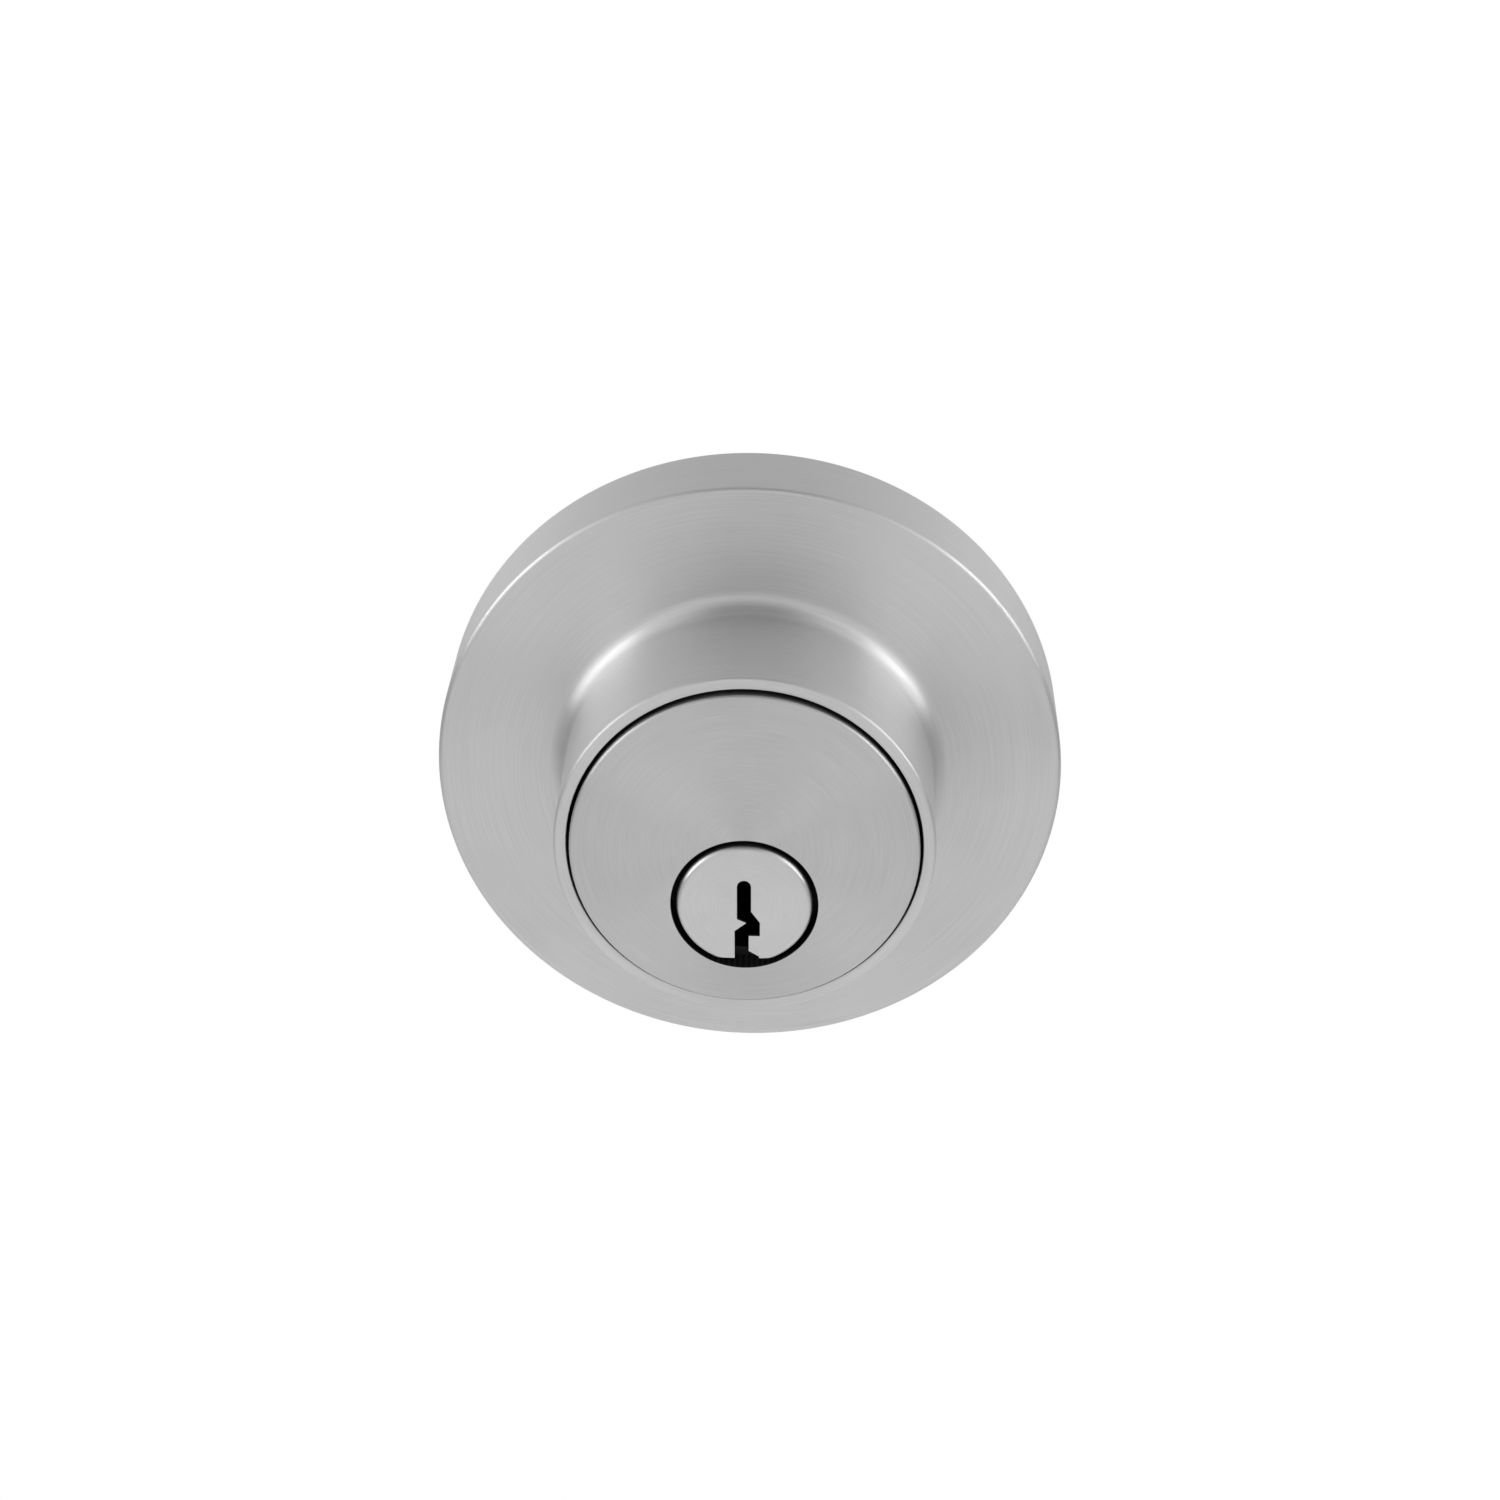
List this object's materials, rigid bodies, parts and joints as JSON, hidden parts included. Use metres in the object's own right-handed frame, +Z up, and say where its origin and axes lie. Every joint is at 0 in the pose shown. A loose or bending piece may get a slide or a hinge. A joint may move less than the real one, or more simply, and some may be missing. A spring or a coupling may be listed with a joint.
{
  "type": "single-cylinder deadbolt door lock",
  "caption": "Single-cylinder deadbolt: round rose and collar with a key cylinder outside, tubular bolt for the door's edge, rose with thumb turn inside.",
  "frame": {"origin": "on the axis of the outside rose, in the plane of the door's outer face", "axes": "-Y points out of the door towards the person with the key, +X towards the door's free edge and the bolt, +Z up"},
  "size_m": [0.0925, 0.102, 0.065],
  "materials": {
    "satin_stainless": "satin, brushed in circles",
    "brushed_face": "satin, brushed in circles",
    "nickel_plug": "fine satin nickel plate",
    "satin_bolt": "satin, brushed along its length",
    "satin_screws": "satin nickel plate",
    "cast_zinc": "raw die casting",
    "zinc_plated_steel": "bright zinc plate",
    "hardened_steel": "hardened, ground",
    "spring_steel": "drawn wire and strip",
    "brass": "turned brass",
    "nickel_silver": "turned nickel silver",
    "black_oxide": "black oxide",
    "nylon": "moulded"
  },
  "bodies": {
    "root": {"outer_rose": "satin_stainless", "cylinder_housing": "cast_zinc", "mounting_posts": "zinc_plated_steel", "reinforcing_plate": "hardened_steel", "cylinder_body": "brushed_face", "cylinder_circlip": "spring_steel", "drill_guard_pins": "hardened_steel", "chamber_cover": "brass", "pin_spring_1": "spring_steel", "pin_spring_2": "spring_steel", "pin_spring_3": "spring_steel", "pin_spring_4": "spring_steel", "pin_spring_5": "spring_steel", "case_half_outer": "zinc_plated_steel", "case_half_inner": "zinc_plated_steel", "case_rivets": "zinc_plated_steel", "detent_spring": "spring_steel", "faceplate": "satin_stainless", "faceplate_backing": "zinc_plated_steel", "faceplate_screws": "satin_screws", "inner_plate": "zinc_plated_steel", "mounting_screws": "zinc_plated_steel", "inner_rose": "satin_stainless", "rose_set_screw": "black_oxide", "turn_bushing": "nylon"},
    "plug": {"plug": "nickel_plug", "plug_cap": "brass", "cap_pin": "brass"},
    "tailpiece": {"tailpiece": "zinc_plated_steel"},
    "bolt_hub": {"bolt_hub": "cast_zinc"},
    "thumb_turn": {"thumb_turn": "satin_stainless", "turn_spindle": "brass", "turn_circlip": "spring_steel", "wave_washer": "spring_steel", "turn_set_screw": "black_oxide"},
    "bolt": {"bolt_head": "satin_bolt", "bolt_bar": "zinc_plated_steel", "bolt_pin": "zinc_plated_steel"},
    "saw_roller_outer": {"saw_roller_outer": "hardened_steel"},
    "saw_roller_inner": {"saw_roller_inner": "hardened_steel"},
    "key_pin_1": {"key_pin_1": "brass"},
    "driver_pin_1": {"driver_pin_1": "nickel_silver"},
    "key_pin_2": {"key_pin_2": "brass"},
    "driver_pin_2": {"driver_pin_2": "nickel_silver"},
    "key_pin_3": {"key_pin_3": "brass"},
    "driver_pin_3": {"driver_pin_3": "nickel_silver"},
    "key_pin_4": {"key_pin_4": "brass"},
    "driver_pin_4": {"driver_pin_4": "nickel_silver"},
    "key_pin_5": {"key_pin_5": "brass"},
    "driver_pin_5": {"driver_pin_5": "nickel_silver"}
  },
  "joints": [
    {"name": "bolt_slide", "type": "slide", "parent": "root", "child": "bolt", "axis": [1, 0, 0], "range_m": [0, 0.025]},
    {"name": "thumb_turn_turn", "type": "hinge", "parent": "root", "child": "thumb_turn", "pos_m": [0, 0, -0.0063], "axis": [0, 1, 0], "range_deg": [0, 90]},
    {"name": "plug_turn", "type": "hinge", "parent": "root", "child": "plug", "pos_m": [0, 0, -0.0063], "axis": [0, 1, 0], "range_deg": [0, 90]},
    {"name": "tailpiece_turn", "type": "hinge", "parent": "root", "child": "tailpiece", "pos_m": [0, 0, -0.0063], "axis": [0, 1, 0], "range_deg": [0, 90]},
    {"name": "hub_turn", "type": "hinge", "parent": "root", "child": "bolt_hub", "pos_m": [0, 0, -0.0063], "axis": [0, 1, 0], "range_deg": [0, 90]},
    {"name": "roller_outer_spin", "type": "hinge", "parent": "bolt", "child": "saw_roller_outer", "pos_m": [0.044, 0.0177, 0.003], "axis": [1, 0, 0], "continuous": true},
    {"name": "roller_inner_spin", "type": "hinge", "parent": "bolt", "child": "saw_roller_inner", "pos_m": [0.044, 0.0263, 0.003], "axis": [1, 0, 0], "continuous": true},
    {"name": "key_pin_1_drop", "type": "slide", "parent": "plug", "child": "key_pin_1", "axis": [0, 0, 1], "range_m": [-0.0017, 0]},
    {"name": "key_pin_2_drop", "type": "slide", "parent": "plug", "child": "key_pin_2", "axis": [0, 0, 1], "range_m": [-0.0006, 0]},
    {"name": "key_pin_3_drop", "type": "slide", "parent": "plug", "child": "key_pin_3", "axis": [0, 0, 1], "range_m": [-0.0025, 0]},
    {"name": "key_pin_4_drop", "type": "slide", "parent": "plug", "child": "key_pin_4", "axis": [0, 0, 1], "range_m": [-0.001, 0]},
    {"name": "key_pin_5_drop", "type": "slide", "parent": "plug", "child": "key_pin_5", "axis": [0, 0, 1], "range_m": [-0.0021, 0]},
    {"name": "driver_pin_1_lift", "type": "slide", "parent": "root", "child": "driver_pin_1", "axis": [0, 0, 1], "range_m": [0, 0.003], "stiffness_N_per_m": 60, "springref_m": -0.005, "deforming": ["pin_spring_1"]},
    {"name": "driver_pin_2_lift", "type": "slide", "parent": "root", "child": "driver_pin_2", "axis": [0, 0, 1], "range_m": [0, 0.003], "stiffness_N_per_m": 60, "springref_m": -0.005, "deforming": ["pin_spring_2"]},
    {"name": "driver_pin_3_lift", "type": "slide", "parent": "root", "child": "driver_pin_3", "axis": [0, 0, 1], "range_m": [0, 0.003], "stiffness_N_per_m": 60, "springref_m": -0.005, "deforming": ["pin_spring_3"]},
    {"name": "driver_pin_4_lift", "type": "slide", "parent": "root", "child": "driver_pin_4", "axis": [0, 0, 1], "range_m": [0, 0.003], "stiffness_N_per_m": 60, "springref_m": -0.005, "deforming": ["pin_spring_4"]},
    {"name": "driver_pin_5_lift", "type": "slide", "parent": "root", "child": "driver_pin_5", "axis": [0, 0, 1], "range_m": [0, 0.003], "stiffness_N_per_m": 60, "springref_m": -0.005, "deforming": ["pin_spring_5"]}
  ],
  "couplings": [
    {"joint": "plug_turn", "follows": "bolt_slide", "rad_per_m": 62.832},
    {"joint": "tailpiece_turn", "follows": "bolt_slide", "rad_per_m": 62.832},
    {"joint": "hub_turn", "follows": "bolt_slide", "rad_per_m": 62.832},
    {"joint": "thumb_turn_turn", "follows": "bolt_slide", "rad_per_m": 62.832}
  ]
}
